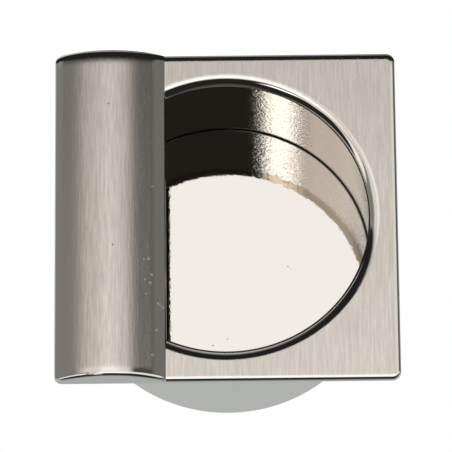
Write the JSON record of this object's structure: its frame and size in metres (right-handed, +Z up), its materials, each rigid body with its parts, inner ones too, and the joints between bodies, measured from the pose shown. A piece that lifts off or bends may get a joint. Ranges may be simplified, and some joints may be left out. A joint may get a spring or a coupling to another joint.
{
  "type": "flush pull",
  "caption": "Square flush pull for a furniture door, with a half-round grip bar over one side of a round finger cup that fits a drilled hole.",
  "frame": {"origin": "on the axis of the cup, in the plane of the door's surface, which is the back of the plate", "axes": "+Z up along the grip bar, -Y out of the door towards the hand, +Y into the door along the cup, the bar on the -X side"},
  "size_m": [0.038, 0.0185, 0.0388],
  "materials": {
    "brushed_nickel": "satin nickel, brushed along the bar",
    "bright_nickel": "bright nickel over a cast surface"
  },
  "bodies": {
    "root": {"face_plate": "brushed_nickel", "cup": "bright_nickel"}
  },
  "joints": []
}
